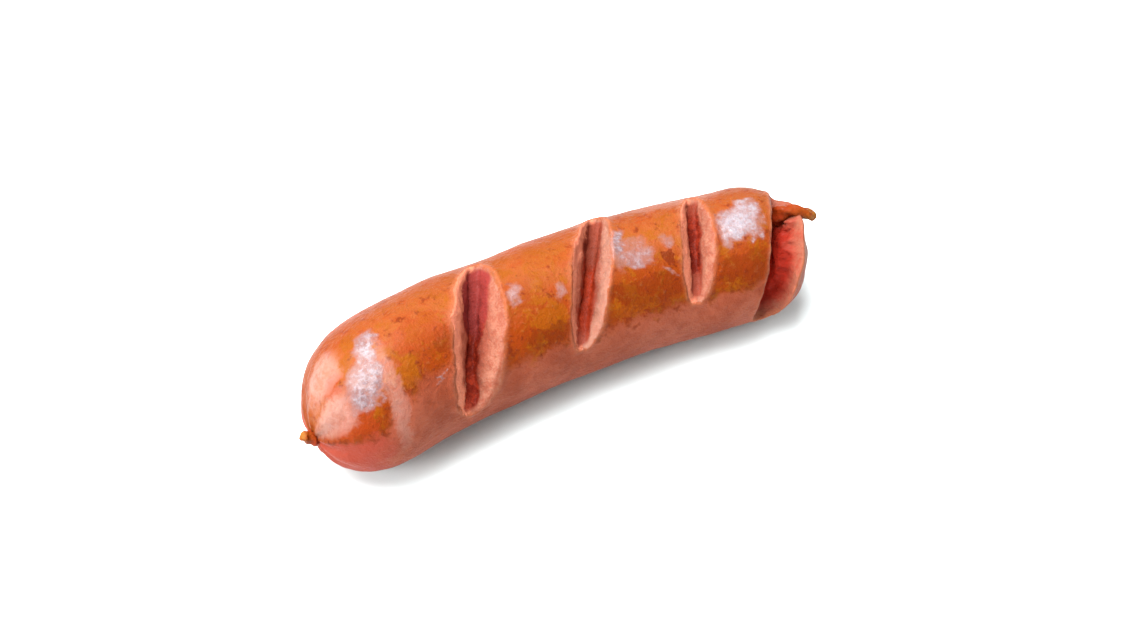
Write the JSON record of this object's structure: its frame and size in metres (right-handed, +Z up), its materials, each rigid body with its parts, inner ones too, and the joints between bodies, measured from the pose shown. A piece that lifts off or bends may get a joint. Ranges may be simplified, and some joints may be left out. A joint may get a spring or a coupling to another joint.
{
  "type": "grilled frankfurter sausage",
  "caption": "Plump grilled frankfurter, gently bent, with slanting slashes across its upper side that opened in cooking, a knot at one end and a tail of casing at the other.",
  "frame": {"origin": "middle of the overall box, at the ground that the sausage lies on", "axes": "+X along the sausage towards the tail of casing, +Z up; the hollow side of the bend and the lower ends of the slashes face -Y"},
  "size_m": [0.1154, 0.0336, 0.0298],
  "materials": {
    "casing": "browned skin with an oily sheen"
  },
  "bodies": {
    "root": {"sausage": "casing"}
  },
  "joints": []
}
